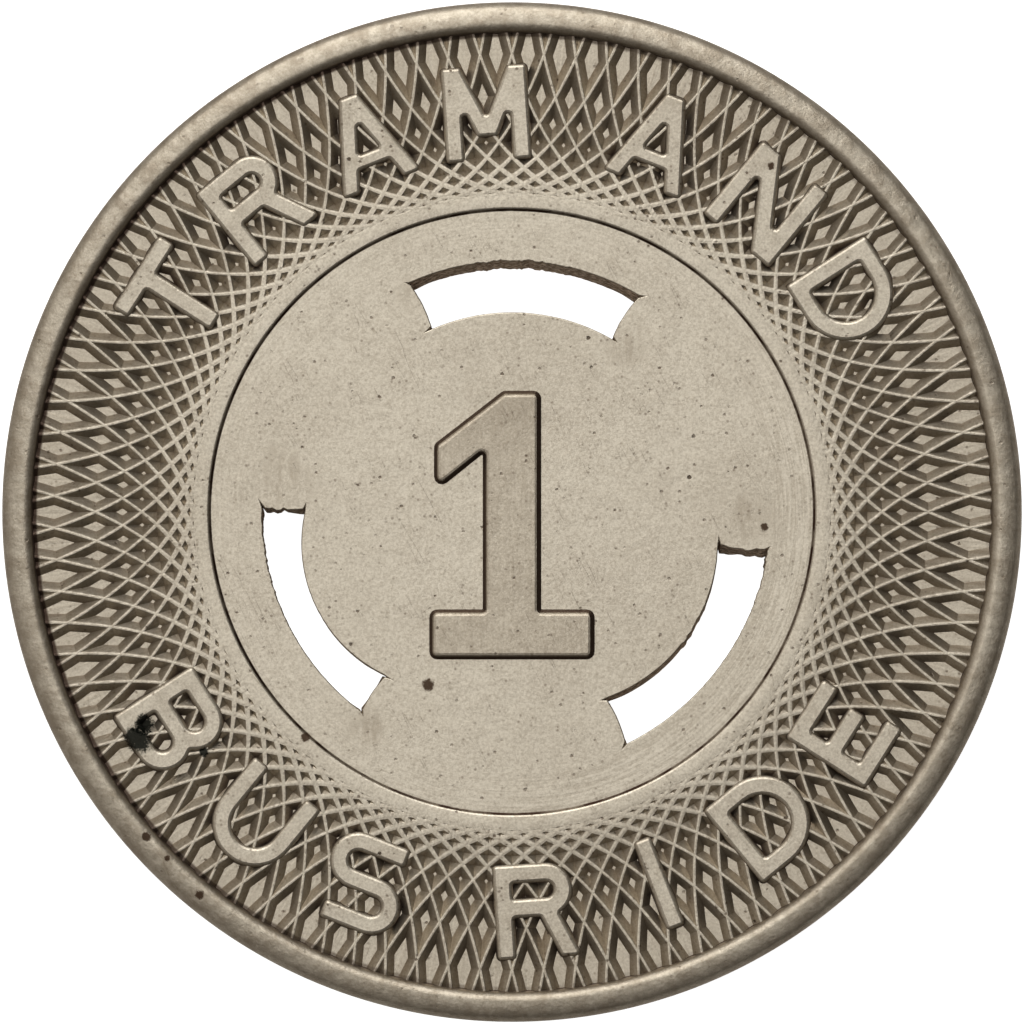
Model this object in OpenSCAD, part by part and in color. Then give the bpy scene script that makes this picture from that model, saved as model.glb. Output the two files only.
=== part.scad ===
// Transit token: one struck and pierced disc of nickel silver.
// The obverse faces +Z and its legend reads upright towards +Y.
// Heights are measured from the middle plane of the metal, because both faces are struck alike.

/* [Blank] */
// Diameter over the plain edge
token_d = 23; // [20:0.5:30]
// Thickness over the two rims
token_t = 1.5; // [1.3:0.05:2.2]
// Radius on the outer corners of the rim
edge_round = 0.25; // [0.1:0.05:0.35]

/* [Rim and border] */
// Width of the rim, from the plain edge to the foot of its inner slope
rim_w = 0.77; // [0.7:0.01:1.1]
// Depth of the border below the rim
border_depth = 0.33; // [0.2:0.01:0.4]
// Radius of the foot of the lip, where the border begins
lip_outer_r = 7.13; // [6.9:0.01:7.4]

/* [Centre] */
// Radius of the centre disc, where the step up to the lip begins
disc_r = 6.785; // [6.6:0.005:6.85]
// Depth of the lip's crest below the rim
lip_depth = 0.13; // [0.05:0.01:0.2]
// Depth of the centre disc below the rim
disc_depth = 0.23; // [0.15:0.01:0.3]

/* [Slots] */
// Direction of each slot, from +X
slot_turn = [86.8, 205.8, 323.9]; // [0:0.1:360]
// Radius of each slot's outer arc
slot_outer_r = [5.68, 5.66, 5.85]; // [5.4:0.01:6.1]
// Angle of each slot's outer arc
slot_span = [55.4, 54.9, 56]; // [45:0.1:64]
// Radius of each slot's inner arc
slot_inner_r = [4.48, 3.26, 3.76]; // [3:0.01:4.5]
// Width of each slot at its middle
slot_w = [1.2, 0.77, 1.02]; // [0.6:0.01:1.3]
// Radius of the end walls, which bulge into the slot
slot_end_r = 2.9; // [1.5:0.1:6]
// Angle at which each piercing punch leans from upright
punch_lean = [8.5, 2.5, 7]; // [0:0.5:9]
// Direction in which the tops of the punches lean, from +X
punch_towards = 90; // [0:5:355]

/* [Legend] */
// Height of a legend letter
letter_h = 2.15; // [1.8:0.05:2.4]
// Width of a wide legend letter
letter_w = 1.95; // [1.6:0.05:2.1]
// Width of a letter's strokes
stroke = 0.44; // [0.3:0.01:0.5]
// Radius of the middle of the legend
legend_r = 9; // [8.7:0.01:9.2]
// Angle from one letter to the next
letter_pitch = 17.9; // [15:0.1:18.2]
// Further angle between the two words of an arc
word_space = 7.4; // [4:0.1:8]
// Depth of the letters' faces below the rim
letter_depth = 0.1; // [0.03:0.01:0.15]

/* [Numeral] */
// Height of the centre numeral
numeral_h = 5.93; // [4:0.01:6.2]
// Distance of the numeral's foot below the centre
numeral_drop = 3.26; // [2.5:0.01:3.6]
// Width of the numeral's stem
stem_w = 1.19; // [0.8:0.01:1.4]
// Width of the numeral's foot
foot_w = 3.6; // [2:0.1:4]
// Height of the numeral's foot
foot_h = 1.0; // [0.6:0.01:1.2]
// Reach of the numeral's flag to the left of the stem
flag_reach = 1.1; // [0.6:0.05:1.4]
// Depth of the numeral's face below the rim
numeral_depth = 0.05; // [0.02:0.01:0.12]

/* [Hidden] */
$fn = 96;
token_r = token_d / 2;
rim_z = token_t / 2;
border_z = rim_z - border_depth;
lip_z = rim_z - lip_depth;
disc_z = rim_z - disc_depth;
letter_z = rim_z - letter_depth;
numeral_z = rim_z - numeral_depth;
rim_foot_r = token_r - rim_w;
lip_round = (lip_outer_r - disc_r) / 2;
lip_r = disc_r + lip_round;
// a punch stands clear of the metal by this much above and below
punch_over = 1;
top_words = [["T", "R", "A", "M"], ["A", "N", "D"]];
foot_words = [["B", "U", "S"], ["R", "I", "D", "E"]];

module block(x, y, w, h) translate([x, y]) square([w, h]);

// a bar with level ends that runs from x0 at the bottom to x1 at the top
module slant(x0, y0, x1, y1, w) polygon([[x0, y0], [x0 + w, y0], [x1 + w, y1], [x1, y1]]);

// the curved side of a bowl: half a ring, bulging to the right of x from y up to y + h
module bowl_side(x, y, h, w) {
    translate([x, y + h / 2]) intersection() {
        difference() {
            circle(r = h / 2);
            circle(r = h / 2 - w);
        }
        translate([0, -h]) square([h, 2 * h]);
    }
}

// a closed bowl from a stem at x = 0: two level bars and the curved side that joins them
module bowl(y, h, reach) {
    straight = reach - h / 2;
    block(0, y, straight, stroke);
    block(0, y + h - stroke, straight, stroke);
    bowl_side(straight, y, h, stroke);
}

module letter_stem() block(0, 0, stroke, letter_h);

module letter_A() {
    reach = (letter_w - stroke) / 2;
    slant(0, 0, reach, letter_h, stroke);
    slant(letter_w - stroke, 0, reach, letter_h, stroke);
    block(letter_w * 0.22, letter_h * 0.22, letter_w * 0.56, stroke * 0.8);
}

module letter_B() {
    waist = (letter_h + stroke) / 2;
    letter_stem();
    bowl(0, waist, letter_w * 0.9);
    bowl(letter_h - waist, waist, letter_w * 0.9);
}

module letter_D() {
    letter_stem();
    bowl(0, letter_h, letter_w);
}

module letter_E() {
    letter_stem();
    block(0, 0, letter_w * 0.82, stroke);
    block(0, letter_h - stroke, letter_w * 0.82, stroke);
    block(0, (letter_h - stroke) / 2, letter_w * 0.72, stroke);
}

module letter_I() block((letter_w - stroke) / 2, 0, stroke, letter_h);

module letter_M() {
    letter_stem();
    block(letter_w - stroke, 0, stroke, letter_h);
    slant((letter_w - stroke) / 2, letter_h * 0.25, 0, letter_h, stroke);
    slant((letter_w - stroke) / 2, letter_h * 0.25, letter_w - stroke, letter_h, stroke);
}

module letter_N() {
    letter_stem();
    block(letter_w - stroke, 0, stroke, letter_h);
    slant(letter_w - stroke * 1.2, 0, 0, letter_h, stroke * 1.2);
}

module letter_R() {
    bowl_h = letter_h * 0.58;
    letter_stem();
    bowl(letter_h - bowl_h, bowl_h, letter_w * 0.92);
    slant(letter_w - stroke * 1.1, 0, letter_w * 0.4, letter_h - bowl_h + stroke, stroke * 1.1);
}

// two half rings back to back, joined by level bars
module letter_S() {
    ring_h = (letter_h + stroke) / 2;
    left = ring_h / 2;
    right = letter_w - ring_h / 2;
    translate([left, 0]) mirror([1, 0]) bowl_side(0, letter_h - ring_h, ring_h, stroke);
    bowl_side(right, 0, ring_h, stroke);
    block(left, letter_h - stroke, right - left + ring_h * 0.3, stroke);
    block(left, (letter_h - stroke) / 2, right - left, stroke);
    block(left - ring_h * 0.3, 0, right - left + ring_h * 0.3, stroke);
}

module letter_T() {
    block(0, letter_h - stroke, letter_w, stroke);
    block((letter_w - stroke) / 2, 0, stroke, letter_h);
}

// two stems that run into half a ring
module letter_U() {
    bend = letter_w / 2;
    block(0, bend, stroke, letter_h - bend);
    block(letter_w - stroke, bend, stroke, letter_h - bend);
    translate([bend, bend]) rotate(-90) bowl_side(0, -bend, letter_w, stroke);
}

module letter(name) {
    if (name == "A") letter_A();
    if (name == "B") letter_B();
    if (name == "D") letter_D();
    if (name == "E") letter_E();
    if (name == "I") letter_I();
    if (name == "M") letter_M();
    if (name == "N") letter_N();
    if (name == "R") letter_R();
    if (name == "S") letter_S();
    if (name == "T") letter_T();
    if (name == "U") letter_U();
}

// both words of an arc, centred on +Y; side is 1 for tops outwards, -1 for tops towards the centre
module arc_legend(words, side) {
    first = len(words[0]);
    steps = first + len(words[1]) - 1;
    half = (steps * letter_pitch + word_space) / 2;
    for (w = [0, 1], i = [0 : len(words[w]) - 1]) {
        along = (w * first + i) * letter_pitch + w * word_space - half;
        rotate(-side * along) translate([-letter_w / 2, side * legend_r - letter_h / 2])
            letter(words[w][i]);
    }
}

module numeral_one() {
    top = numeral_h - numeral_drop;
    block(-stem_w / 2, -numeral_drop, stem_w, numeral_h);
    block(-foot_w / 2, -numeral_drop, foot_w, foot_h);
    polygon([
        [stem_w / 2, top], [-stem_w * 0.15, top], [-stem_w / 2 - flag_reach, top - flag_reach * 1.1],
        [-stem_w / 2 - flag_reach, top - flag_reach * 2.1], [-stem_w / 2, top - flag_reach * 1.3]
    ]);
}

// one struck face: legend and numeral, standing on the middle plane
module struck_face() {
    linear_extrude(letter_z) arc_legend(top_words, 1);
    linear_extrude(letter_z) arc_legend(foot_words, -1);
    linear_extrude(numeral_z) numeral_one();
}

// half of the token's section: rim, border, lip and disc, for the upper or the lower face
module half_section() {
    square([token_r - edge_round, border_z]);
    square([disc_r, disc_z]);
    translate([lip_r, lip_z - lip_round]) circle(r = lip_round);
    block(disc_r, 0, 2 * lip_round, lip_z - lip_round);
    block(rim_foot_r + border_depth, 0, rim_w - border_depth - edge_round, rim_z);
    translate([rim_foot_r + border_depth, border_z]) intersection() {
        circle(r = border_depth);
        translate([-border_depth, 0]) square(border_depth);
    }
    translate([token_r - edge_round, rim_z - edge_round]) circle(r = edge_round);
    block(token_r - edge_round, 0, edge_round, rim_z - edge_round);
}

module struck_blank() {
    rotate_extrude() {
        half_section();
        mirror([0, 1]) half_section();
    }
}

// slot i, pointing along +X: a curved band between two arcs, with its end walls bulging inwards
module slot_outline(i) {
    half = slot_span[i] / 2;
    outer = slot_outer_r[i] * [cos(half), sin(half)];
    // the inner arc's centre lies out from the token's centre by this much
    out = slot_outer_r[i] - slot_w[i] - slot_inner_r[i];
    // where the inner arc meets a ray a little inside the outer corner
    inner_a = half * 0.98;
    inner_len = out * cos(inner_a) + sqrt(pow(slot_inner_r[i], 2) - pow(out * sin(inner_a), 2));
    inner = inner_len * [cos(inner_a), sin(inner_a)];
    chord = outer - inner;
    normal = [-chord[1], chord[0]] / norm(chord);
    end = (outer + inner) / 2 + normal * sqrt(pow(slot_end_r, 2) - pow(norm(chord) / 2, 2));
    reach = slot_outer_r[i] * 1.5;
    difference() {
        intersection() {
            circle(r = slot_outer_r[i]);
            polygon([
                [0, 0], reach * [cos(half), -sin(half)], [reach * 1.2, 0], reach * [cos(half), sin(half)]
            ]);
        }
        translate([out, 0]) circle(r = slot_inner_r[i]);
        for (side = [1, -1]) translate([end[0], side * end[1]]) circle(r = slot_end_r);
    }
}

// the piercing punches; each leans about the obverse face of the disc
module punches() {
    lean_axis = [-sin(punch_towards), cos(punch_towards), 0];
    for (i = [0 : len(slot_turn) - 1])
        translate([0, 0, disc_z]) rotate(a = punch_lean[i], v = lean_axis)
            translate([0, 0, -token_t - punch_over])
                linear_extrude(token_t + 2 * punch_over)
                    rotate(slot_turn[i]) slot_outline(i);
}

module token() {
    color("#b8b09c") translate([0, 0, rim_z]) difference() {
        union() {
            struck_blank();
            struck_face();
            rotate([0, 180, 0]) struck_face();
        }
        punches();
    }
}

token();
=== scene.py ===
# %% [markdown]
# # A struck and pierced transit token
# A fare token is a single disc of nickel silver. Two steel dies squeeze a blank between them, which raises
# a rim, a border of crossing ridges, the letters, a lip, a flat centre disc and a numeral, all in one blow.
# Then three curved slots are pierced through the centre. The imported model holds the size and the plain
# shape. This lesson builds the fine relief that a flat border stands for there, and the worn, toned metal.

# %% Load the frame
import math

import bmesh
import bpy
from mathutils import Matrix, Vector, noise


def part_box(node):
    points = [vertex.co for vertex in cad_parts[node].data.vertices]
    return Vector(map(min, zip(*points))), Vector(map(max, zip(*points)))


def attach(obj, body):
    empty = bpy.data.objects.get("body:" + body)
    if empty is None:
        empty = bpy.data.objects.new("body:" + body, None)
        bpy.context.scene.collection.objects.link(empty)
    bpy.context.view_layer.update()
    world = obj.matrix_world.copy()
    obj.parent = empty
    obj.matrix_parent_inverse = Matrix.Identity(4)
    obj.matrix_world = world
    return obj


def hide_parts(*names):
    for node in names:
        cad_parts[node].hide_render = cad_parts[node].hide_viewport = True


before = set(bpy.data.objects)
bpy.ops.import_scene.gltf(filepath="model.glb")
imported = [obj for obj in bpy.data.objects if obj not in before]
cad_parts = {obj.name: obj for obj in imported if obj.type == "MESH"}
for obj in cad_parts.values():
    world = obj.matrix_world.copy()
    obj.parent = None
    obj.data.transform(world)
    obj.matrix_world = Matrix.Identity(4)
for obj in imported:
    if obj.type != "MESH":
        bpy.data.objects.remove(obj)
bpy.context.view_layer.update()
low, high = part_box("token")
MM = 0.001
EDGE_R = (high.x - low.x) / 2 / MM
RIM_Z = (high.z - low.z) / 2 / MM
MIDDLE_Z = (high.z + low.z) / 2 / MM
print(f"token: {2 * EDGE_R:.2f} mm across, {2 * RIM_Z:.2f} mm thick")

# %% [markdown]
# The sizes are in millimetres, and each height is a depth below the rim, as a die sinker would give it. The
# mesh work is done in millimetres round the middle plane of the metal, and each piece is scaled to metres
# at its end, because the merging distances of Blender's operators suit numbers near one.

# %% Sizes of the struck relief
BORDER_Z = RIM_Z - 0.33
LIP_Z = RIM_Z - 0.13
DISC_Z = RIM_Z - 0.23
LETTER_Z = RIM_Z - 0.10
NUMERAL_Z = RIM_Z - 0.05
RIM_FOOT_R = EDGE_R - 0.77
LIP_OUTER_R = 7.18
DISC_R = 6.785
EDGE_ROUND = 0.25
HIDDEN_Z = BORDER_Z - 0.06
BURIED_Z = BORDER_Z - 0.12
TURNS = 256


# %% [markdown]
# Each piece ends the same way: its faces are made to point outwards, it is scaled to metres and set at the
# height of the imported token, and it rides on the token's one body. The reverse is the obverse turned over
# about the upright axis, as a coin is turned over in the hand, so every struck piece is made once and
# turned for the other side.

# %% Finish a piece
SIDES = (("obverse", False), ("reverse", True))


def finish_piece(mesh, name, materials, turned=False):
    """Turns a bmesh in millimetres into a piece of the token."""
    bmesh.ops.recalc_face_normals(mesh, faces=mesh.faces)
    if turned:
        bmesh.ops.rotate(mesh, verts=mesh.verts, matrix=Matrix.Rotation(math.pi, 3, "Y"))
    bmesh.ops.translate(mesh, verts=mesh.verts, vec=(0, 0, MIDDLE_Z))
    bmesh.ops.scale(mesh, verts=mesh.verts, vec=(MM, MM, MM))
    open_edges = sum(1 for e in mesh.edges if len(e.link_faces) != 2)
    data = bpy.data.meshes.new(name)
    mesh.to_mesh(data)
    mesh.free()
    for material in materials:
        data.materials.append(material)
    piece = bpy.data.objects.new(name, data)
    bpy.context.scene.collection.objects.link(piece)
    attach(piece, "root")
    triangles = sum(len(f.vertices) - 2 for f in data.polygons)
    print(f"{name}: {triangles} triangles, {open_edges} open edges")
    return piece


# %% [markdown]
# Shader sums read best as sums. A Wire is one socket of a node tree, and adding or multiplying two of them
# makes the Math node that does it. Any other node comes from one method, which sets the node's own settings
# first and then its inputs, from values or from other wires.

# %% Shader wires
OBJECT_COORDINATES = 3  # which output of a Texture Coordinate node they are


class Wire:
    def __init__(self, tree, socket):
        self.tree, self.socket = tree, socket

    def node(self, kind, settings=None, inputs=None, out=0):
        made = self.tree.nodes.new(kind)
        for key, value in (settings or {}).items():
            setattr(made, key, value)
        for key, value in (inputs or {}).items():
            if isinstance(value, Wire):
                self.tree.links.new(value.socket, made.inputs[key])
            else:
                made.inputs[key].default_value = value
        return Wire(self.tree, made.outputs[out])

    def math(self, operation, first, second=0.0):
        return self.node("ShaderNodeMath", {"operation": operation}, {0: first, 1: second})

    def __add__(self, other):
        return self.math("ADD", self, other)

    def __sub__(self, other):
        return self.math("SUBTRACT", self, other)

    def __rsub__(self, other):
        return self.math("SUBTRACT", other, self)

    def __mul__(self, other):
        return self.math("MULTIPLY", self, other)

    __radd__, __rmul__ = __add__, __mul__

    def step(self, start, end):
        """0 below start, 1 above end, and smooth between."""
        return self.node(
            "ShaderNodeMapRange",
            {"interpolation_type": "SMOOTHSTEP"},
            {"Value": self, "From Min": start, "From Max": end},
        )

    def blend(self, first, second):
        """The colour first where this mask is 0, and second where it is 1."""
        return self.node(
            "ShaderNodeMix",
            {"data_type": "RGBA", "clamp_factor": True},
            {0: self, 6: first, 7: second},
            out=2,
        )


# %% [markdown]
# Nickel silver is a warm pale grey. Fifty years of pockets give it three things besides: brown tone that
# stays on steep walls and in the depths, pale rubbed tops, and a skin of fine pits and hair scratches. The
# tone is found from the way the surface faces and from its height, which the metal's own shape gives, so it
# needs no painting by hand. The same mask also carries painted shade at the foot of the rim and on the
# numeral's walls that face right. A few marks belong to this one token: grey smudges by the ends of the
# slots, and dark deposits. Each is a ragged patch with its own place in millimetres and its own size.

# %% Colours of the metal and its dirt
CLEAN = (0.61, 0.553, 0.448, 1)
# the pale rubbed colour, also used for the painted sheen on the disc's turned rings
RUBBED_AND_SHEEN = (0.71, 0.645, 0.53, 1)
BRUSHED = (0.565, 0.503, 0.40, 1)
DULL = (0.355, 0.30, 0.228, 1)
# the brown tone colour, also used for the painted shade at the rim's foot and on the numeral's right-facing
# walls
TONE_AND_SHADE = (0.058, 0.030, 0.021, 1)
SPOT = (0.095, 0.058, 0.036, 1)
VERDIGRIS = (0.012, 0.015, 0.012, 1)
DEPOSITS = (
    (-8.40, -5.12, 0.36, VERDIGRIS), (-8.27, -4.82, 0.27, VERDIGRIS), (-6.94, -5.41, 0.13, VERDIGRIS),
    (-1.89, -3.91, 0.15, SPOT), (5.69, -0.34, 0.10, SPOT), (-4.66, -5.08, 0.11, SPOT),
    (5.83, 7.81, 0.10, SPOT), (-8.25, -7.30, 0.11, SPOT), (-7.77, -7.80, 0.10, SPOT),
    (-7.04, -8.63, 0.13, SPOT),
)
SMUDGES = ((-5.1, 0.75, 0.9), (5.3, -0.1, 0.8), (2.5, 3.75, 0.6), (-3.2, -4.9, 0.6), (-2.2, 4.9, 0.5))

# %% [markdown]
# Every mark is worked out from a few things: where a point lies, which way it faces and how high it stands,
# and three clouds of noise from fine to broad. A Surface keeps these for one material, with the four things
# that the marks change: colour, height, roughness and the mask of brown tone, which in places also carries
# painted shade.

# %% The surface of one material
class Surface:
    def __init__(self, name, base, rough):
        self.material = bpy.data.materials.new(name)
        self.material.use_nodes = True
        self.start = start = Wire(self.material.node_tree, None)
        place = start.node("ShaderNodeTexCoord", out=OBJECT_COORDINATES)
        self.milli = start.node("ShaderNodeVectorMath", {"operation": "SCALE"}, {0: place, "Scale": 1 / MM})
        self.x, self.y, self.z = self.parts(self.milli)
        self.rightward, _, upward = self.parts(start.node("ShaderNodeNewGeometry", out=1))
        self.level = start.math("ABSOLUTE", upward)
        self.height_up = start.math("ABSOLUTE", self.z - MIDDLE_Z)
        self.radius = start.math("SQRT", self.x * self.x + self.y * self.y)
        self.turn = start.math("ARCTAN2", self.y, self.x)
        self.fine = self.cloud(17.0, 3.0, roughness=0.75)
        self.medium = self.cloud(2.0, 4.0, roughness=0.6)
        self.broad = self.cloud(0.35, 2.0)
        self.colour, self.roughness, self.height, self.tone = base, rough, 0.0, 0.0

    def parts(self, vector):
        """The three parts of a vector, each as a wire."""
        split = self.start.node("ShaderNodeSeparateXYZ", None, {0: vector})
        return [Wire(split.tree, split.socket.node.outputs[i]) for i in range(3)]

    def larger(self, first, second):
        return self.start.math("MAXIMUM", first, second)

    def cloud(self, per_mm, detail=2.0, vector=None, roughness=0.5):
        """Noise with about so many lumps in a millimetre."""
        inputs = {"Vector": vector or self.milli, "Scale": per_mm, "Detail": detail, "Roughness": roughness}
        return self.start.node("ShaderNodeTexNoise", None, inputs)

    def drawn_out(self, vector, across, up):
        """A place stretched by its own factor each way, which draws a noise out into strokes."""
        factors = (across, up, 1)
        return self.start.node("ShaderNodeVectorMath", {"operation": "MULTIPLY"}, {0: vector, 1: factors})

    def dots(self, per_mm, size, share):
        """Dots in the middle of some cells, each as dark as its cell's own number."""
        cells = self.start.node("ShaderNodeTexVoronoi", None, {"Vector": self.milli, "Scale": per_mm})
        own = self.parts(Wire(cells.tree, cells.socket.node.outputs[1]))[0]
        dark = 1 - own.step(share * 0.3, share)
        return (1 - (cells + (self.fine - 0.5) * size * 1.6).step(size * 0.4, size)) * dark

    def patch(self, across, up, size, solid):
        """A ragged patch on the obverse, with its place and its size in millimetres."""
        obverse = (self.z - MIDDLE_Z).step(0.0, 0.1)
        aside, above = self.x - across, self.y - up
        away = self.start.math("SQRT", aside * aside + above * above) * (1 / size)
        return (1 - (away + (self.medium - 0.5) * 1.6 + (self.fine - 0.5) * 1.3).step(solid, 1.0)) * obverse

    def tint(self, mask, colour):
        """Lays the colour over the metal where the mask is 1."""
        self.colour = mask.blend(self.colour, colour)


# %% [markdown]
# All of the metal has aged alike. Brown tone sits on the steep walls, most of all at their feet, and a
# little in the corner at the foot of the rim, where painted shade makes the corner much darker towards the
# left and top. The open faces have dull clouds, rubbed grain, hair scratches, specks and a few deep pits.

# %% Age that every piece shows, and painted shade at the rim's foot
def brown_tone_and_foot_shade(s):
    steep = 1 - (s.level + (s.medium - 0.5) * 0.1).step(0.35, 0.97)
    steep = steep * (1 - s.radius.step(EDGE_R - 0.06, EDGE_R - 0.01) * 0.75)
    low_down = 1 - s.height_up.step(BORDER_Z + 0.02, BORDER_Z + 0.20)
    # the corner at the rim's foot: a little brown tone all round, plus painted shade that makes it much
    # darker towards the left and top
    foot = 1 - s.start.math("ABSOLUTE", s.radius - RIM_FOOT_R - 0.05).step(0.03, 0.10)
    foot = foot * (0.15 + (s.y * 0.03 - s.x * 0.095).step(-0.9, 0.9) * 0.75)
    s.tone = s.larger(steep * (0.55 + low_down * 0.45), foot)


def hair_scratches(s):
    """Thin lines of a noise that is drawn out along one direction, in places."""
    angle = {"Vector": s.milli, "Angle": math.radians(63)}
    spun = s.start.node("ShaderNodeVectorRotate", {"rotation_type": "Z_AXIS"}, angle)
    lines = s.start.math("ABSOLUTE", s.cloud(1.0, 0.0, s.drawn_out(spun, 0.28, 5)) - 0.5)
    return (1 - lines.step(0.0, 0.006)) * s.medium.step(0.52, 0.60)


def worn_face(s, mottled):
    specks = s.dots(4.0, 0.17, 1.0) * s.medium.step(0.38, 0.58)
    dust = s.dots(7.0, 0.30, 0.75) * s.medium.step(0.42, 0.56)
    pits = s.dots(1.3, 0.065, 0.6)
    hairs = hair_scratches(s)
    s.tint(s.medium.step(0.40, 0.68) * mottled, DULL)
    s.tint(s.broad.step(0.45, 0.70) * 0.18, DULL)
    s.tint((s.fine - 0.45) * 2.3, DULL)
    s.tint((0.50 - s.fine) * 2.4, RUBBED_AND_SHEEN)
    s.tint(hairs * 0.4, DULL)
    streaks = s.cloud(1.0, 4.0, s.drawn_out(s.milli, 5, 1.2), 0.65).step(0.40, 0.62)
    for smudge in SMUDGES:
        s.tint(s.patch(*smudge, 0.1) * (streaks * 0.55 + 0.1), DULL)
    s.tint(dust * 0.5, SPOT)
    s.tint(specks * 0.75, SPOT)
    s.tint(pits * 0.85, SPOT)
    s.height = s.fine * 0.0045 + s.medium * 0.012 - pits * 0.02 - specks * 0.006 - hairs * 0.0015
    s.roughness = s.roughness + (s.fine - 0.5) * 0.12 + s.tone * 0.2 + pits * 0.2


# %% [markdown]
# Some marks belong to one piece only. Pockets scuff the rim, and dirt fills the seam round the disc. The
# disc was turned near the lip, and its rings carry a painted sheen that shows mostly towards the right. The
# border's die was cut with strokes that run outwards, and the numeral was brushed; painted shade darkens
# the numeral's walls that face right.

# %% Marks of single pieces
def scuffed_rim(s):
    rim = s.radius.step(RIM_FOOT_R, RIM_FOOT_R + 0.2)
    s.tint(rim * (0.30 + s.medium.step(0.38, 0.66) * 0.55), DULL)
    seam = 1 - s.start.math("ABSOLUTE", s.radius - DISC_R - 0.025).step(0.016, 0.040)
    s.tone = s.larger(s.tone, seam * (0.55 + s.medium.step(0.35, 0.6) * 0.45))
    scuffs = s.cloud(5.0, 5.0, roughness=0.7)
    s.tint(rim * (scuffs - 0.50) * 2.2, RUBBED_AND_SHEEN)
    s.tint(rim * (0.46 - scuffs) * 2.2, DULL)
    s.roughness = s.roughness + rim * 0.10
    s.height = s.height + rim * (s.medium * 0.012 + scuffs * 0.008)


def turned_rings_and_sheen(s):
    ring = s.start.node("ShaderNodeCombineXYZ", None, {0: s.radius * 17.0, 1: s.turn * 5.0})
    # painted sheen: the turned rings show lighter and plainer towards the right and lower right
    side = ((s.x * 0.87 - s.y * 0.5) * 0.145).step(0.1, 0.8) + 0.5
    rings = s.cloud(1.0, 3.0, ring) * s.radius.step(5.4, 6.3) * (1 - s.radius.step(6.72, 6.80))
    s.height = s.height + rings * 0.003
    s.tint(rings.step(0.48, 0.60) * side * 0.25, RUBBED_AND_SHEEN)
    s.tint(rings.step(0.30, 0.40) * (1 - rings.step(0.40, 0.48)) * side * 0.2, DULL)


def tool_strokes(s):
    sunk = 1 - s.height_up.step(BORDER_Z + 0.01, BORDER_Z + 0.16)
    s.tint(sunk * 0.25, DULL)
    fan = s.start.node("ShaderNodeCombineXYZ", None, {0: s.turn * 130.0, 1: s.radius * 0.9})
    strokes = s.cloud(1.0, 3.0, fan)
    s.height = s.height + strokes * 0.008
    s.tint((strokes - 0.42) * 1.1, DULL)


def brush_strokes_and_shade(s):
    strokes = s.cloud(1.0, 3.0, s.drawn_out(s.milli, 16, 1.5))
    s.height = s.height + strokes * 0.004
    s.tint(strokes - 0.42, DULL)
    s.tint(s.y.step(0.6, 2.6) * 0.30, DULL)
    below = 1 - s.height_up.step(NUMERAL_Z - 0.065, NUMERAL_Z - 0.025)
    # the lower parts of the numeral's walls are toned all round; its walls that face right get painted
    # shade
    s.tone = s.larger(s.tone, s.larger(below, s.rightward.step(0.12, 0.5)) * 0.92)


# %% [markdown]
# The order of the layers is the order in which they came: bare metal, wear, tool marks, tone with its
# painted shade, and last what stuck to it.

# %% Nickel silver
def plug(material, wires):
    """Links each wire to the input of the material's shader that has its name, and gives the shader."""
    shader = material.node_tree.nodes["Principled BSDF"]
    for socket, wire in wires.items():
        material.node_tree.links.new(wire.socket, shader.inputs[socket])
    return shader


def nickel_silver(name, marks=(), base=CLEAN, rough=0.36, mottled=0.12):
    """Aged metal, with the marks that one piece has besides."""
    s = Surface(name, base, rough)
    brown_tone_and_foot_shade(s)
    worn_face(s, mottled)
    for mark in marks:
        mark(s)
    s.tint(s.tone, TONE_AND_SHADE)
    for across, up, size, stuff in DEPOSITS:
        stuck = s.patch(across, up, size, 0.6)
        s.tint(stuck * 0.95, stuff)
        s.roughness = s.roughness + stuck * 0.3
    bump = s.start.node("ShaderNodeBump", None, {"Height": s.height, "Distance": MM})
    shader = plug(s.material, {"Base Color": s.colour, "Roughness": s.roughness, "Normal": bump})
    shader.inputs["Metallic"].default_value = 1.0
    return s.material


FIELD = nickel_silver("polished_field", (scuffed_rim, turned_rings_and_sheen))
RELIEF = nickel_silver("toned_relief", (tool_strokes,))
LETTER_FACE = nickel_silver("letter_faces", rough=0.40, mottled=0.35)
NUMERAL_FACE = nickel_silver("numeral_face", (brush_strokes_and_shade,), BRUSHED, rough=0.42, mottled=0.3)

# %% [markdown]
# A pierced wall isn't polished by wear. It is torn metal without shine, mottled with the dirt that it
# holds. Its own colours are light, because little light reaches it and it looks dark anyway.

# %% Torn metal
TORN_DARK = (0.25, 0.195, 0.145, 1)
TORN_PALE = (0.78, 0.65, 0.52, 1)
SHEARED = bpy.data.materials.new("sheared_wall")
SHEARED.use_nodes = True
wall = Wire(SHEARED.node_tree, None)
place = wall.node("ShaderNodeTexCoord", out=OBJECT_COORDINATES)
torn = wall.node("ShaderNodeTexNoise", None, {"Vector": place, "Scale": 9 / MM, "Detail": 4.0})
shear_looks = {
    "Base Color": torn.step(0.35, 0.75).blend(TORN_DARK, TORN_PALE),
    "Roughness": torn * 0.3 + 0.5,
    "Normal": wall.node("ShaderNodeBump", None, {"Height": torn * 0.05, "Distance": MM}),
}
plug(SHEARED, shear_looks).inputs["Specular IOR Level"].default_value = 0.0

# %% [markdown]
# The blank is a body of revolution: a rim on each face, a border floor and the lip round the centre disc.
# Its section is drawn as one flat face, because the bevel operator can then round each corner by its own
# radius. The face goes, and its edges are spun once round. The border's floor lies a little deeper here
# than it should, because the ridged border covers it.

# %% Section of the blank
SAME = 1e-4
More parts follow.
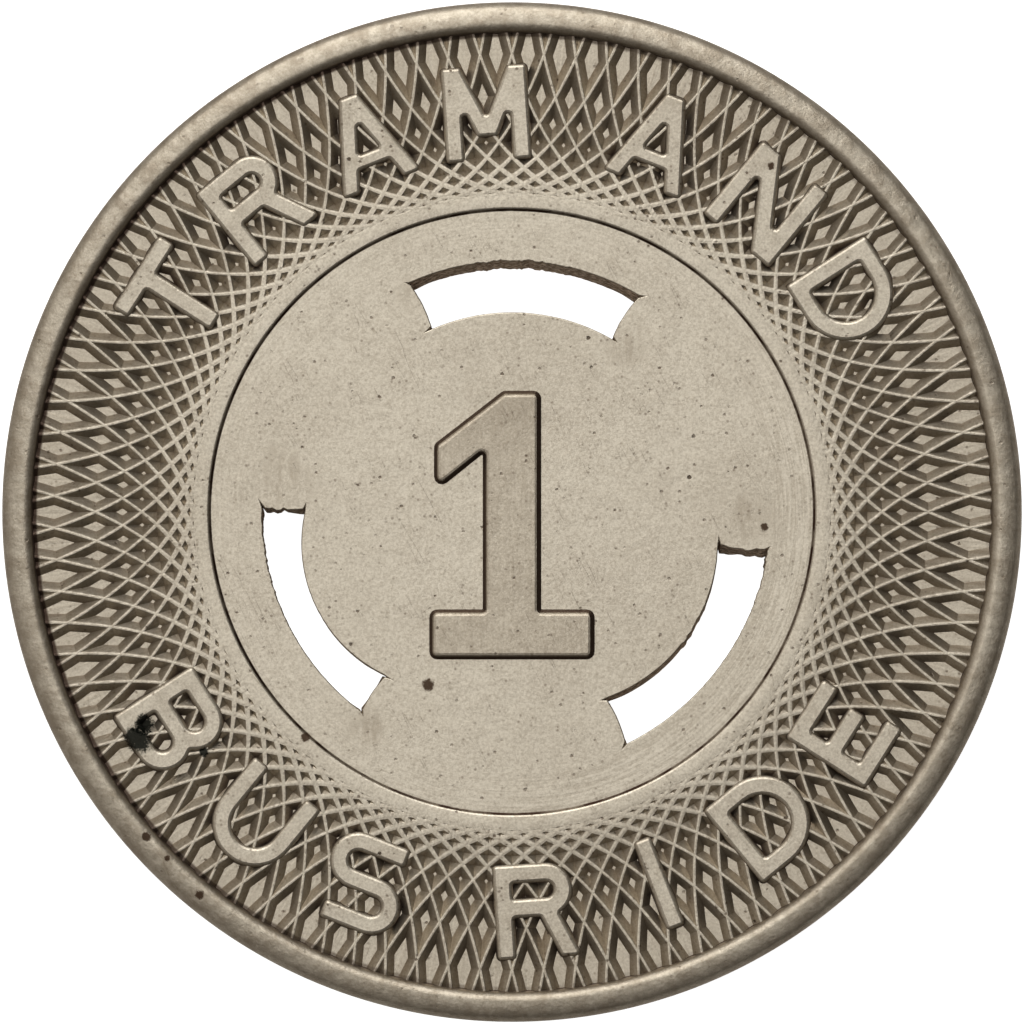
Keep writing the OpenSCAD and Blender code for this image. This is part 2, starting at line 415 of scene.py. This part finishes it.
# each corner of the upper half: its radius, its height and how much of it the bevel takes
SECTION = (
    (DISC_R, DISC_Z, 0),
    (DISC_R + 0.05, LIP_Z, 0.05),
    (LIP_OUTER_R, LIP_Z, 0.004),
    (LIP_OUTER_R + 0.03, HIDDEN_Z, 0),
    (RIM_FOOT_R, HIDDEN_Z, 0),
    (RIM_FOOT_R + 0.06, BORDER_Z, 0),
    (RIM_FOOT_R + 0.09, RIM_Z - 0.10, 0.07),
    (RIM_FOOT_R + 0.22, RIM_Z, 0.07),
    (EDGE_R - 0.33, RIM_Z, 0.14),
    (EDGE_R - 0.06, RIM_Z - 0.09, 0.11),
    (EDGE_R, RIM_Z - EDGE_ROUND, 0.045),
)
body = bmesh.new()
outline = [(r, z) for r, z, _ in SECTION] + [(r, -z) for r, z, _ in reversed(SECTION)]
body.faces.new([body.verts.new((r, 0, z)) for r, z in outline])
for r, z, rounding in SECTION:
    if rounding:
        corners = [v for v in body.verts if abs(v.co.x - r) < SAME and abs(abs(v.co.z) - z) < SAME]
        bmesh.ops.bevel(
            body, geom=corners, affect="VERTICES", offset=rounding, segments=6, profile=0.5, material=-1
        )
inner = [e for e in body.edges if all(abs(v.co.x - DISC_R) < SAME for v in e.verts)]
bmesh.ops.delete(body, geom=list(body.faces), context="FACES_ONLY")
bmesh.ops.delete(body, geom=inner, context="EDGES")
bmesh.ops.spin(
    body, geom=list(body.verts) + list(body.edges), cent=(0, 0, 0), axis=(0, 0, 1),
    angle=2 * math.pi, steps=TURNS, use_merge=True, use_duplicate=False,
)
bmesh.ops.remove_doubles(body, verts=body.verts, dist=SAME)
for face in body.faces:
    face.smooth = True
print(f"blank: {len(body.faces)} faces round the rim and the lip")

# %% [markdown]
# A slot is a band between two arcs, with end walls that bulge a little into it. The three were pierced one
# at a time, so each has its own place, width and lean, and a punch's lean shows as a strip of its far wall.
# The punch also tore the metal: the upper outline is ragged, and dark ears run out of its sharp corners.
# The outline is one face, which insets make the rolled edge of, and which is then pushed down through the
# metal.

# %% Sizes of the slots
SLOTS = (
    {"turn": 86.8, "outer_r": 5.68, "span": 55.4, "inner_r": 4.48, "width": 1.20, "lean": 8.5},
    {"turn": 205.8, "outer_r": 5.66, "span": 54.9, "inner_r": 3.26, "width": 0.77, "lean": 2.5},
    {"turn": 323.9, "outer_r": 5.85, "span": 56.0, "inner_r": 3.76, "width": 1.02, "lean": 7.0},
)
SLOT_END_R = 2.9
ARC_STEPS = {"outer": 108, "end": 12, "inner": 60}
EARS = (0.17, 0.10, 0.22, 0.16)
TEARS = ((5, 3.0, 0.034), (11, 5.0, 0.075))
ROLLED = ((0.012, -0.004), (0.012, -0.012))
CORNER_DRAG, DRAG_REACH = 0.09, 0.5


def arc(centre, start, end, count):
    """Points on a circle, from the point start to just before the point end, the short way round."""
    swing = (start - centre).angle_signed(end - centre)
    return [centre + Matrix.Rotation(-swing * i / count, 2) @ (start - centre) for i in range(count)]


def slot_outline(outer_r, span, inner_r, width):
    """One slot that points along +X, in order round its edge, and its four corners."""
    half = math.radians(span / 2)
    inner_centre = Vector((outer_r - width - inner_r, 0))
    outer = Vector((math.cos(half), math.sin(half))) * outer_r
    ray = half * 0.98
    along = inner_centre.x * math.cos(ray)
    along += math.sqrt(inner_r**2 - (inner_centre.x * math.sin(ray)) ** 2)
    inner = Vector((math.cos(ray), math.sin(ray))) * along
    chord = outer - inner
    away = Vector((-chord.y, chord.x)).normalized()
    end_centre = (outer + inner) / 2 + away * math.sqrt(SLOT_END_R**2 - chord.length**2 / 4)
    flip = Matrix(((1, 0), (0, -1)))
    points, corners = [], []
    for centre, start, end, stretch in (
        (Vector((0, 0)), flip @ outer, outer, "outer"),
        (end_centre, outer, inner, "end"),
        (inner_centre, inner, flip @ inner, "inner"),
        (flip @ end_centre, flip @ inner, flip @ outer, "end"),
    ):
        corners.append(len(points))
        points += arc(centre, start, end, ARC_STEPS[stretch])
    return points, corners


# %% [markdown]
# A cut adds the walls of one slot. The rims of its two mouths are left open for the disc.

# %% Pierce the slots
def cut_slot(mesh, turn, lean, **sizes):
    outline, corners = slot_outline(**sizes)
    points = [Matrix.Rotation(math.radians(turn), 2) @ p for p in outline]
    middle = sum(points, Vector((0, 0))) / len(points)
    fall = Vector((0, -2 * DISC_Z * math.tan(math.radians(lean)), 0))
    verts = []
    for p in points:
        away = (p - middle).normalized()
        torn = sum(noise.noise(Vector((p.x * fine, p.y * fine, seed))) * size for fine, seed, size in TEARS)
        ragged = max(0.12, away.y) if p.length > 5 or lean > 5 else 0.2
        verts.append(mesh.verts.new((*(p + away * torn * ragged), DISC_Z)))
    for i, ear in zip(corners, EARS):
        away = (points[i] - middle).normalized() * ear
        verts[i].co += Vector((*away, 0))
    mouth = mesh.faces.new(verts)
    mouth.normal_update()
    if mouth.normal.z < 0:
        mouth.normal_flip()
    for thickness, depth in ROLLED:
        bmesh.ops.inset_region(
            mesh, faces=[mouth], thickness=thickness, depth=depth, use_even_offset=True, use_boundary=True
        )
    mouth.material_index = 1
    for part in (0.3, 0.35, 0.35):
        mouth = bmesh.ops.extrude_discrete_faces(mesh, faces=[mouth])["faces"][0]
        drop = Vector((0, 0, -part * (2 * DISC_Z + sum(depth for _, depth in ROLLED))))
        bmesh.ops.translate(mesh, verts=mouth.verts, vec=fall * part + drop)
    for v in mouth.verts:
        gap = min((v.co.xy - points[i] - fall.xy).length for i in corners)
        v.co.xy += (middle - v.co.xy).normalized() * CORNER_DRAG * max(0, 1 - gap / DRAG_REACH)
    bmesh.ops.delete(mesh, geom=[mouth], context="FACES_ONLY")


for slot in SLOTS:
    cut_slot(body, **slot)
for side in (1, -1):
    rims = [
        e for e in body.edges
        if len(e.link_faces) == 1 and all(abs(v.co.z - side * DISC_Z) < 0.02 for v in e.verts)
    ]
    for v in {v for e in rims for v in e.verts}:
        v.co.z = side * DISC_Z
    disc = bmesh.ops.triangle_fill(body, edges=rims, use_beauty=True, normal=(0, 0, side))
    made = [f for f in disc["geom"] if isinstance(f, bmesh.types.BMFace)]
    for face in made:
        face.smooth = False
    print(f"disc side {side}: {len(rims)} rim edges, {len(made)} faces")
blank = finish_piece(body, "blank", (FIELD, SHEARED))
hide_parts("token")

# %% [markdown]
# The border is engine-turned work. A rosette lathe cuts the same long oval ninety times, each turned four
# degrees from the last, and the ovals cross in two mirrored families. Seen in turns and steps of the
# crossing, the lattice is nothing but a square grid stood on its corner. So one column of a plain grid is
# made, cut off where the lip and the rim cover it, and only then wrapped onto the ovals.

# %% The oval that the lathe repeats
OVALS = 90
PERIOD = 360 / OVALS
OVAL_NEAREST = 7.07
OVAL_OUT = 26.63
OVAL_ACROSS = 10.197
LATTICE_START = 3.0
LATTICE_END = 25.0
GRID_ROWS = 14


def oval_radius(swing):
    """How far the oval lies from the token's centre, at an angle in degrees from its nearest point."""
    a = math.radians(swing)
    centre = OVAL_NEAREST + OVAL_OUT
    square = (math.sin(a) / OVAL_ACROSS) ** 2 + (math.cos(a) / OVAL_OUT) ** 2
    half = centre * math.cos(a) / OVAL_OUT**2
    rest = (centre / OVAL_OUT) ** 2 - 1
    return (half - math.sqrt(half**2 - square * rest)) / square


print("crossings at", [round(oval_radius(n * PERIOD / 2), 2) for n in range(13)])

# %% [markdown]
# The cutter leaves a narrow flat crest along each oval, a soft shoulder, a flank at a steady slope and then
# the flat floor. Where the ovals run close together, the flanks meet before they reach the floor, and
# towards the lip even the crests meet, so that the pits fade away. All of this follows from one profile:
# the depth of a point depends only on how far it lies from the nearest line.

# %% The cutter's profile
CUTTER = ((0.0, 0.0), (0.027, 0.003), (0.044, 0.017), (0.184, 0.153), (0.197, 0.165))
LABELS = (0.0, 0.2, 0.36, 1.25, 1.45)


def between(value, places, heights):
    """Reads the height at value off straight lines drawn through the places."""
    for i in range(1, len(places)):
        if value <= places[i]:
            share = (value - places[i - 1]) / (places[i] - places[i - 1])
            return heights[i - 1] + share * (heights[i] - heights[i - 1])
    return heights[-1]


def smooth(value, start, end):
    """0 below start, 1 above end, and smooth between, as a wire's own step."""
    share = min(1, max(0, (value - start) / (end - start)))
    return share * share * (3 - 2 * share)


def crest_height(radius):
    """The crests stand level with the lip where they leave it, and a little lower further out."""
    near, far = LIP_Z + 0.0005, BORDER_Z + CUTTER[-1][1]
    return near + (far - near) * smooth(radius, 7.2, 8.3)


def widening(radius):
    """The crests are broader near the lip, where the die was cut less deep."""
    return 0.030 * (1 - smooth(radius, 7.25, 8.55))


def crowding(swing):
    """Degrees of the lattice in a millimetre across its lines."""
    outwards = (oval_radius(swing + 0.05) - oval_radius(swing - 0.05)) / 0.1
    return math.hypot(180 / (math.pi * oval_radius(swing)), 1 / outwards)


print("lattice degrees per mm:", [round(crowding(f), 1) for f in (4, 8, 12, 16, 20, 24)])


# %% [markdown]
# In the flat grid, a cell is inset four times at stand-in distances, which serve as labels for the edge of
# the crest, the shoulder, the flank's foot and the floor. When the grid is wrapped onto the ovals, each
# point is set at the true distance that its label stands for, and the profile gives its depth.

# %% Lay one point on the ovals
def shift(line, dense, wide):
    """Moves a place across the lattice lines from its label's distance to its true one."""
    whole = math.floor(line / PERIOD)
    within = line - whole * PERIOD
    label = min(within, PERIOD - within)
    places = [min((c[0] + wide) * dense, 1.85 + 0.03 * i) if i else 0 for i, c in enumerate(CUTTER)]
    away = between(label, LABELS + (2.0,), places + [2.0])
    return whole * PERIOD + (away if within < PERIOD / 2 else PERIOD - away), away


def lay(v):
    turn, swing = v.co.x, v.co.y
    lines = (turn + swing, turn - swing)
    for _ in range(3):
        dense, wide = crowding(swing), widening(oval_radius(swing))
        (right, gap_r), (left, gap_l) = (shift(line, dense, wide) for line in lines)
        swing = min((right - left) / 2, LATTICE_END + 0.4)
    angle, radius = math.radians((right + left) / 2), oval_radius(swing)
    distance = max(0, min(gap_r, gap_l) / dense - wide)
    depth = between(distance, [c[0] for c in CUTTER], [c[1] for c in CUTTER])
    v.co = (radius * math.sin(angle), radius * math.cos(angle), crest_height(radius) - depth)


# %% [markdown]
# One column of cells runs from the lip to the rim. Copies of it are turned round the token and merged, and
# the open edges are drawn down into the metal and bridged below, so that the border is one closed piece.

# %% The ridged border
def border():
    mesh = bmesh.new()
    bmesh.ops.create_grid(mesh, x_segments=GRID_ROWS, y_segments=GRID_ROWS, size=GRID_ROWS / 2)
    stand = Matrix.Rotation(math.radians(45), 3, "Z")
    bmesh.ops.rotate(mesh, verts=mesh.verts, matrix=stand)
    bmesh.ops.scale(mesh, verts=mesh.verts, vec=(PERIOD / math.sqrt(2),) * 3)
    lowest = min(v.co.y for v in mesh.verts)
    bmesh.ops.translate(mesh, verts=mesh.verts, vec=(0, -lowest, 0))
    spare = [
        f for f in mesh.faces
        if not -0.1 < f.calc_center_median().x < PERIOD - 0.1 or f.calc_center_median().y > LATTICE_END + 2
    ]
    bmesh.ops.delete(mesh, geom=spare, context="FACES")
    cells = list(mesh.faces)
    for before, after in zip(LABELS, LABELS[1:]):
        inset = (after - before) / math.sqrt(2)
        bmesh.ops.inset_individual(mesh, faces=cells, thickness=inset, use_even_offset=True)
    sides = [
        e for e in mesh.edges
        if abs(abs(e.verts[0].co.x - e.verts[1].co.x) - abs(e.verts[0].co.y - e.verts[1].co.y)) < 1e-3
    ]
    bmesh.ops.subdivide_edges(mesh, edges=sides, cuts=2, use_grid_fill=True)
    for swing, clear in ((LATTICE_START, "clear_inner"), (LATTICE_END, "clear_outer")):
        bmesh.ops.bisect_plane(
            mesh, geom=list(mesh.verts) + list(mesh.edges) + list(mesh.faces),
            plane_co=(0, swing, 0), plane_no=(0, 1, 0), **{clear: True},
        )
    for v in mesh.verts:
        lay(v)
    column = list(mesh.verts) + list(mesh.edges) + list(mesh.faces)
    for i in range(1, OVALS):
        copy = bmesh.ops.duplicate(mesh, geom=column)["geom"]
        verts = [g for g in copy if isinstance(g, bmesh.types.BMVert)]
        turned = Matrix.Rotation(math.radians(i * PERIOD), 3, "Z")
        bmesh.ops.rotate(mesh, verts=verts, matrix=turned)
    bmesh.ops.remove_doubles(mesh, verts=mesh.verts, dist=2e-4)
    skirt = [e for e in mesh.edges if e.is_boundary]
    down = bmesh.ops.extrude_edge_only(mesh, edges=skirt)["geom"]
    for v in (g for g in down if isinstance(g, bmesh.types.BMVert)):
        v.co.z = BURIED_Z
    foot = [g for g in down if isinstance(g, bmesh.types.BMEdge) and g.is_boundary]
    bmesh.ops.bridge_loops(mesh, edges=foot)
    return mesh


for side, turned in SIDES:
    finish_piece(border(), f"border_{side}", (RELIEF,), turned)

# %% [markdown]
# The letters are plain block capitals. Each outline is a closed path with round stretches as arcs, and a
# filled outline is raised by insets: a wall with a little draft, as every struck letter needs to leave its
# die, and three small steps that round the top edge. The wording is a plain statement of use.

# %% Outlines of the letters
LETTER_DRAFT = 0.03
W, H, S = (size + 2 * LETTER_DRAFT for size in (1.95, 2.15, 0.44))
HALF_W, MID_LOW, MID_HIGH = W / 2, (H - S) / 2, (H + S) / 2


def bend(x, y, radius, start, end, count=14):
    """Points on a circle, from one angle to another, in degrees."""
    angles = [math.radians(start + (end - start) * i / count) for i in range(count + 1)]
    return [(x + radius * math.cos(a), y + radius * math.sin(a)) for a in angles]


def bowl_hole(y, height, reach):
    """The hollow of a bowl that starts at height y."""
    x, r = reach - height / 2, height / 2
    return [(S, y + S)] + bend(x, y + r, r - S, -90, 90) + [(S, y + height - S)]


def letter_A():
    k = (W - S) / (2 * H)
    bar, top = H * 0.22, H * 0.22 + S * 0.8
    peak = (W - 2 * S) / (2 * k)
    outer = [(0, 0), (S, 0), (S + k * bar, bar), (W - S - k * bar, bar), (W - S, 0), (W, 0)]
    outer += [((W + S) / 2, H), ((W - S) / 2, H)]
    return [outer, [(S + k * top, top), (W - S - k * top, top), (HALF_W, peak)]]


def letter_B():
    waist, reach = MID_HIGH, W * 0.9
    r = waist / 2
    x = reach - r
    meet = math.degrees(math.asin((H / 2 - r) / r))
    outer = [(0, 0)] + bend(x, r, r, -90, meet) + bend(x, H - r, r, -meet, 90) + [(0, H)]
    return [outer, bowl_hole(0, waist, reach), bowl_hole(H - waist, waist, reach)]


def letter_D():
    x = W - H / 2
    return [[(0, 0)] + bend(x, H / 2, H / 2, -90, 90, 24) + [(0, H)], bowl_hole(0, H, W)]


def letter_E():
    arm, short = W * 0.82, W * 0.72
    outer = [(0, 0), (arm, 0), (arm, S), (S, S), (S, MID_LOW), (short, MID_LOW), (short, MID_HIGH)]
    return [outer + [(S, MID_HIGH), (S, H - S), (arm, H - S), (arm, H), (0, H)]]


def letter_I():
    left, right = (W - S) / 2, (W + S) / 2
    return [[(left, 0), (right, 0), (right, H), (left, H)]]


def letter_M():
    run = (W - S) / 2
    dip, fall = H * 0.25, H * 0.75
    under = H - fall * S / run
    over = H - fall * (HALF_W - S) / run
    outer = [(0, 0), (S, 0), (S, under), (run, dip), (W - run, dip), (W - S, under), (W - S, 0)]
    return [outer + [(W, 0), (W, H), (W - S, H), (HALF_W, over), (S, H), (0, H)]]


def letter_N():
    thick = S * 1.2
    cut = H * S / (W - thick)
    outer = [(0, 0), (S, 0), (S, H - cut), (W - thick, 0), (W, 0), (W, H)]
    return [outer + [(W - S, H), (W - S, cut), (thick, H), (0, H)]]


def letter_R():
    tall, reach, thick = H * 0.58, W * 0.92, S * 1.1
    base, r = H - tall, tall / 2
    x = reach - r
    rise = base + S
    lean_in = (W - thick - W * 0.4) / rise
    # the leg's outer side meets the bowl where its line crosses the circle
    a, b = 1 + lean_in**2, -2 * (lean_in * (W - x) + base + r)
    c = (W - x) ** 2 + (base + r) ** 2 - r**2
    y = (-b - math.sqrt(b**2 - 4 * a * c)) / (2 * a)
    meet = math.degrees(math.atan2(y - base - r, W - lean_in * y - x))
    outer = [(0, 0), (S, 0), (S, base), (W - thick - lean_in * base, base), (W - thick, 0), (W, 0)]
    return [outer + bend(x, base + r, r, meet, 90) + [(0, H)], bowl_hole(base, tall, reach)]


def letter_S():
    r = MID_HIGH / 2
    left, right, end = r, W - r, r * 0.6
    outer = [(right + end, H)] + bend(left, H - r, r, 90, 270) + bend(right, r, r - S, 90, -90)
    outer += [(left - end, S), (left - end, 0)] + bend(right, r, r, -90, 90)
    return [outer + bend(left, H - r, r - S, 270, 90) + [(right + end, H - S)]]


def letter_T():
    left, right = (W - S) / 2, (W + S) / 2
    return [[(left, 0), (right, 0), (right, H - S), (W, H - S), (W, H), (0, H), (0, H - S), (left, H - S)]]


def letter_U():
    outer = [(0, H)] + bend(HALF_W, HALF_W, HALF_W, 180, 360, 24) + [(W, H), (W - S, H)]
    return [outer + bend(HALF_W, HALF_W, HALF_W - S, 360, 180, 24) + [(S, H)]]


LETTERS = {
    "A": letter_A, "B": letter_B, "D": letter_D, "E": letter_E, "I": letter_I, "M": letter_M,
    "N": letter_N, "R": letter_R, "S": letter_S, "T": letter_T, "U": letter_U,
}


# %% [markdown]
# Raising an outline is the same for a letter and for the numeral. The filler copes with holes, and an inset
# of the whole filled region draws every side of it in by the same amount, the sides of the holes too.

# %% Raise an outline
def soften(loop, convex, hollow=0.02, count=4):
    """The closed loop with its corners rounded: those that stick out of the metal by the radius convex."""
    loop = [Vector(p) for i, p in enumerate(loop) if (Vector(p) - Vector(loop[i - 1])).length > 1e-4]
    points = []
    for i, p in enumerate(loop):
        into, out = loop[i - 1] - p, loop[(i + 1) % len(loop)] - p
        turn = math.pi - into.angle(out)
        if turn < math.radians(25):
            points.append(p)
            continue
        leftward = into.cross(out) < 0
        reach = (convex if leftward else hollow) * math.tan(turn / 2)
        reach = min(reach, into.length * 0.45, out.length * 0.45)
        centre = p + (into.normalized() + out.normalized()).normalized() * (reach / math.sin(turn / 2))
        first = p + into.normalized() * reach - centre
        swing = turn if leftward else -turn
        points += [centre + Matrix.Rotation(swing * k / count, 2) @ first for k in range(count + 1)]
    return points


def raise_outline(mesh, loops, place, base, rounding, steps):
    """Stands the filled loops on the height base, and raises them by (inset, rise) steps."""
    edges = []
    for i, loop in enumerate(loops):
        shape = soften(loop, *((rounding, 0.02) if i == 0 else (0.02, rounding)))
        verts = [mesh.verts.new((*(place @ p.to_3d()).xy, base)) for p in shape]
        edges += [mesh.edges.new((verts[i - 1], verts[i])) for i in range(len(verts))]
    filled = bmesh.ops.triangle_fill(mesh, edges=edges, use_beauty=True, normal=(0, 0, 1))
    faces = [g for g in filled["geom"] if isinstance(g, bmesh.types.BMFace)]
    for face in faces:
        face.normal_update()
        if face.normal.z < 0:
            face.normal_flip()
    under = bmesh.ops.duplicate(mesh, geom=faces)["geom"]
    bmesh.ops.reverse_faces(mesh, faces=[g for g in under if isinstance(g, bmesh.types.BMFace)])
    for inset, rise in steps:
        bmesh.ops.inset_region(
            mesh, faces=faces, thickness=inset, depth=rise, use_even_offset=True, use_boundary=True
        )


# %% [markdown]
# The words stand on one circle. The upper ones run clockwise with their feet inwards, and the lower ones
# run the other way with their feet outwards, so that both read upright.

# %% The legend
LEGEND_R = 9.0
LETTER_CORNER = 0.13
LETTER_PITCH, WORD_SPACE = 17.9, 7.4
WORDS = {1: ("TRAM", "AND"), -1: ("BUS", "RIDE")}
LETTER_RISE = LETTER_Z - BURIED_Z
LETTER_STEPS = (
    (0.0, 0.12), (LETTER_DRAFT, LETTER_RISE - 0.19), (0.015, 0.03), (0.028, 0.025), (0.04, 0.015),
)


def legend():
    mesh = bmesh.new()
    for side, (first, second) in WORDS.items():
        steps = len(first) + len(second) - 1
        half = (steps * LETTER_PITCH + WORD_SPACE) / 2
        for i, name in enumerate(first + second):
            along = i * LETTER_PITCH + (WORD_SPACE if i >= len(first) else 0) - half
            place = Matrix.Rotation(math.radians(-side * along), 4, "Z")
            place = place @ Matrix.Translation((-W / 2, side * LEGEND_R - H / 2, 0))
            raise_outline(mesh, LETTERS[name](), place, BURIED_Z, LETTER_CORNER, LETTER_STEPS)
    bmesh.ops.remove_doubles(mesh, verts=mesh.verts, dist=1e-5)
    return mesh


for side, turned in SIDES:
    finish_piece(legend(), f"legend_{side}", (LETTER_FACE,), turned)

# %% [markdown]
# The numeral stands higher and was cut deeper into the die by hand, so its walls lean more and its top edge
# is rounder than a letter's. Its face was never polished, and keeps a brushed, darker look. Painted shade
# darkens its walls that face right.

# %% The centre numeral
NUMERAL_DRAFT = 0.065
NUMERAL_H, NUMERAL_DROP, STEM_W, FOOT_W, FOOT_H = (
    size + grow * NUMERAL_DRAFT for size, grow in ((5.93, 2), (3.26, 1), (1.19, 2), (3.6, 2), (1.0, 2))
)
FLAG = 1.1
NUMERAL_CORNER = 0.18
NUMERAL_ROOT = 0.1
NUMERAL_RISE = NUMERAL_Z - DISC_Z
NUMERAL_STEPS = (
    (0.0, NUMERAL_ROOT), (NUMERAL_DRAFT, NUMERAL_RISE - 0.06), (0.015, 0.03), (0.025, 0.02), (0.045, 0.01),
)


def numeral_one():
    top, foot, stem = NUMERAL_H - NUMERAL_DROP, -NUMERAL_DROP, STEM_W / 2
    tip = -stem - FLAG
    return [[
        (-FOOT_W / 2, foot), (FOOT_W / 2, foot), (FOOT_W / 2, foot + FOOT_H), (stem, foot + FOOT_H),
        (stem, top), (-STEM_W * 0.15, top), (tip, top - FLAG * 1.1), (tip, top - FLAG * 2.1),
        (-stem, top - FLAG * 1.3), (-stem, foot + FOOT_H), (-FOOT_W / 2, foot + FOOT_H),
    ]]


for side, turned in SIDES:
    mesh = bmesh.new()
    raise_outline(
        mesh, numeral_one(), Matrix.Identity(4), DISC_Z - NUMERAL_ROOT, NUMERAL_CORNER, NUMERAL_STEPS
    )
    bmesh.ops.remove_doubles(mesh, verts=mesh.verts, dist=1e-5)
    finish_piece(mesh, f"numeral_{side}", (NUMERAL_FACE,), turned)

# %% [markdown]
# A token is best seen from straight above under a large soft light, which the flat metal mirrors into the
# lens while every slope mirrors the dim room. So one big panel hangs over the camera, a brighter one beyond
# the top of the token picks out the edges that face it, and the room is a quiet warm grey, a little lighter
# towards the upper left. The floor is plain white card that glows like a light table, so that the slots
# read as clean holes. It glows fully only for the camera, because a light table would also flood the
# token's edge and the slots' walls from below.

# %% Floor
floor_mesh = bmesh.new()
bmesh.ops.create_grid(floor_mesh, x_segments=1, y_segments=1, size=0.6)
floor_data = bpy.data.meshes.new("floor")
floor_mesh.to_mesh(floor_data)
floor_mesh.free()
floor = bpy.data.objects.new("floor", floor_data)
bpy.context.scene.collection.objects.link(floor)
card = bpy.data.materials.new("pale_card")
card.use_nodes = True
seen = Wire(card.node_tree, None).node("ShaderNodeLightPath")
card_shader = plug(card, {"Emission Color": seen.blend((0.05, 0.05, 0.05, 1), (1, 1, 1, 1))})
card_shader.inputs["Base Color"].default_value = (0.9, 0.9, 0.89, 1)
card_shader.inputs["Roughness"].default_value = 0.9
card_shader.inputs["Emission Strength"].default_value = 0.97
floor_data.materials.append(card)

# %% Lights
scene = bpy.context.scene
scene.view_settings.view_transform = "Standard"
room = bpy.data.worlds.new("room")
room.use_nodes = True
room_wire = Wire(room.node_tree, None)
direction = room_wire.node("ShaderNodeTexCoord")
towards = {0: direction, 1: (-0.85, 0.5, 0)}
lit_side = room_wire.node("ShaderNodeVectorMath", {"operation": "DOT_PRODUCT"}, towards, out=1)
strength = lit_side.step(-0.5, 1.0) * 0.37 + 0.09
background = room.node_tree.nodes["Background"]
background.inputs["Color"].default_value = (1.0, 0.92, 0.84, 1)
room.node_tree.links.new(strength.socket, background.inputs["Strength"])
scene.world = room


def panel(name, place, size, glow):
    """A square soft light that looks at the token, as bright as a wall of radiance glow."""
    data = bpy.data.lights.new(name, "AREA")
    data.shape, data.size, data.energy = "SQUARE", size, glow * math.pi * size**2
    light = bpy.data.objects.new(name, data)
    light.location = place
    light.rotation_euler = (-Vector(place)).to_track_quat("-Z", "Y").to_euler()
    scene.collection.objects.link(light)


panel("overhead_panel", (-0.025, 0.02, 0.42), 0.30, 0.97)
panel("key_panel", (-0.03, 0.28, 0.28), 0.30, 2.9)

# %% [markdown]
# A copy camera stands a quarter of a metre up with a very long lens, so that the token shows with almost no
# perspective. The little that is left, and the lean of each punch, let a strip of wall show in each slot.

# %% Camera
FRAME_MARGIN = 1.0039
lens = bpy.data.cameras.new("copy_camera")
lens.lens, lens.sensor_width = 400, 36
camera = bpy.data.objects.new("copy_camera", lens)
frame_w = 2 * EDGE_R * MM * FRAME_MARGIN
camera.location = (0, 0, high.z - EDGE_ROUND * MM + frame_w * lens.lens / lens.sensor_width)
lens.clip_start, lens.clip_end = 0.005, 5
scene.collection.objects.link(camera)
scene.camera = camera
print(f"camera {camera.location.z / MM:.0f} mm above the table")
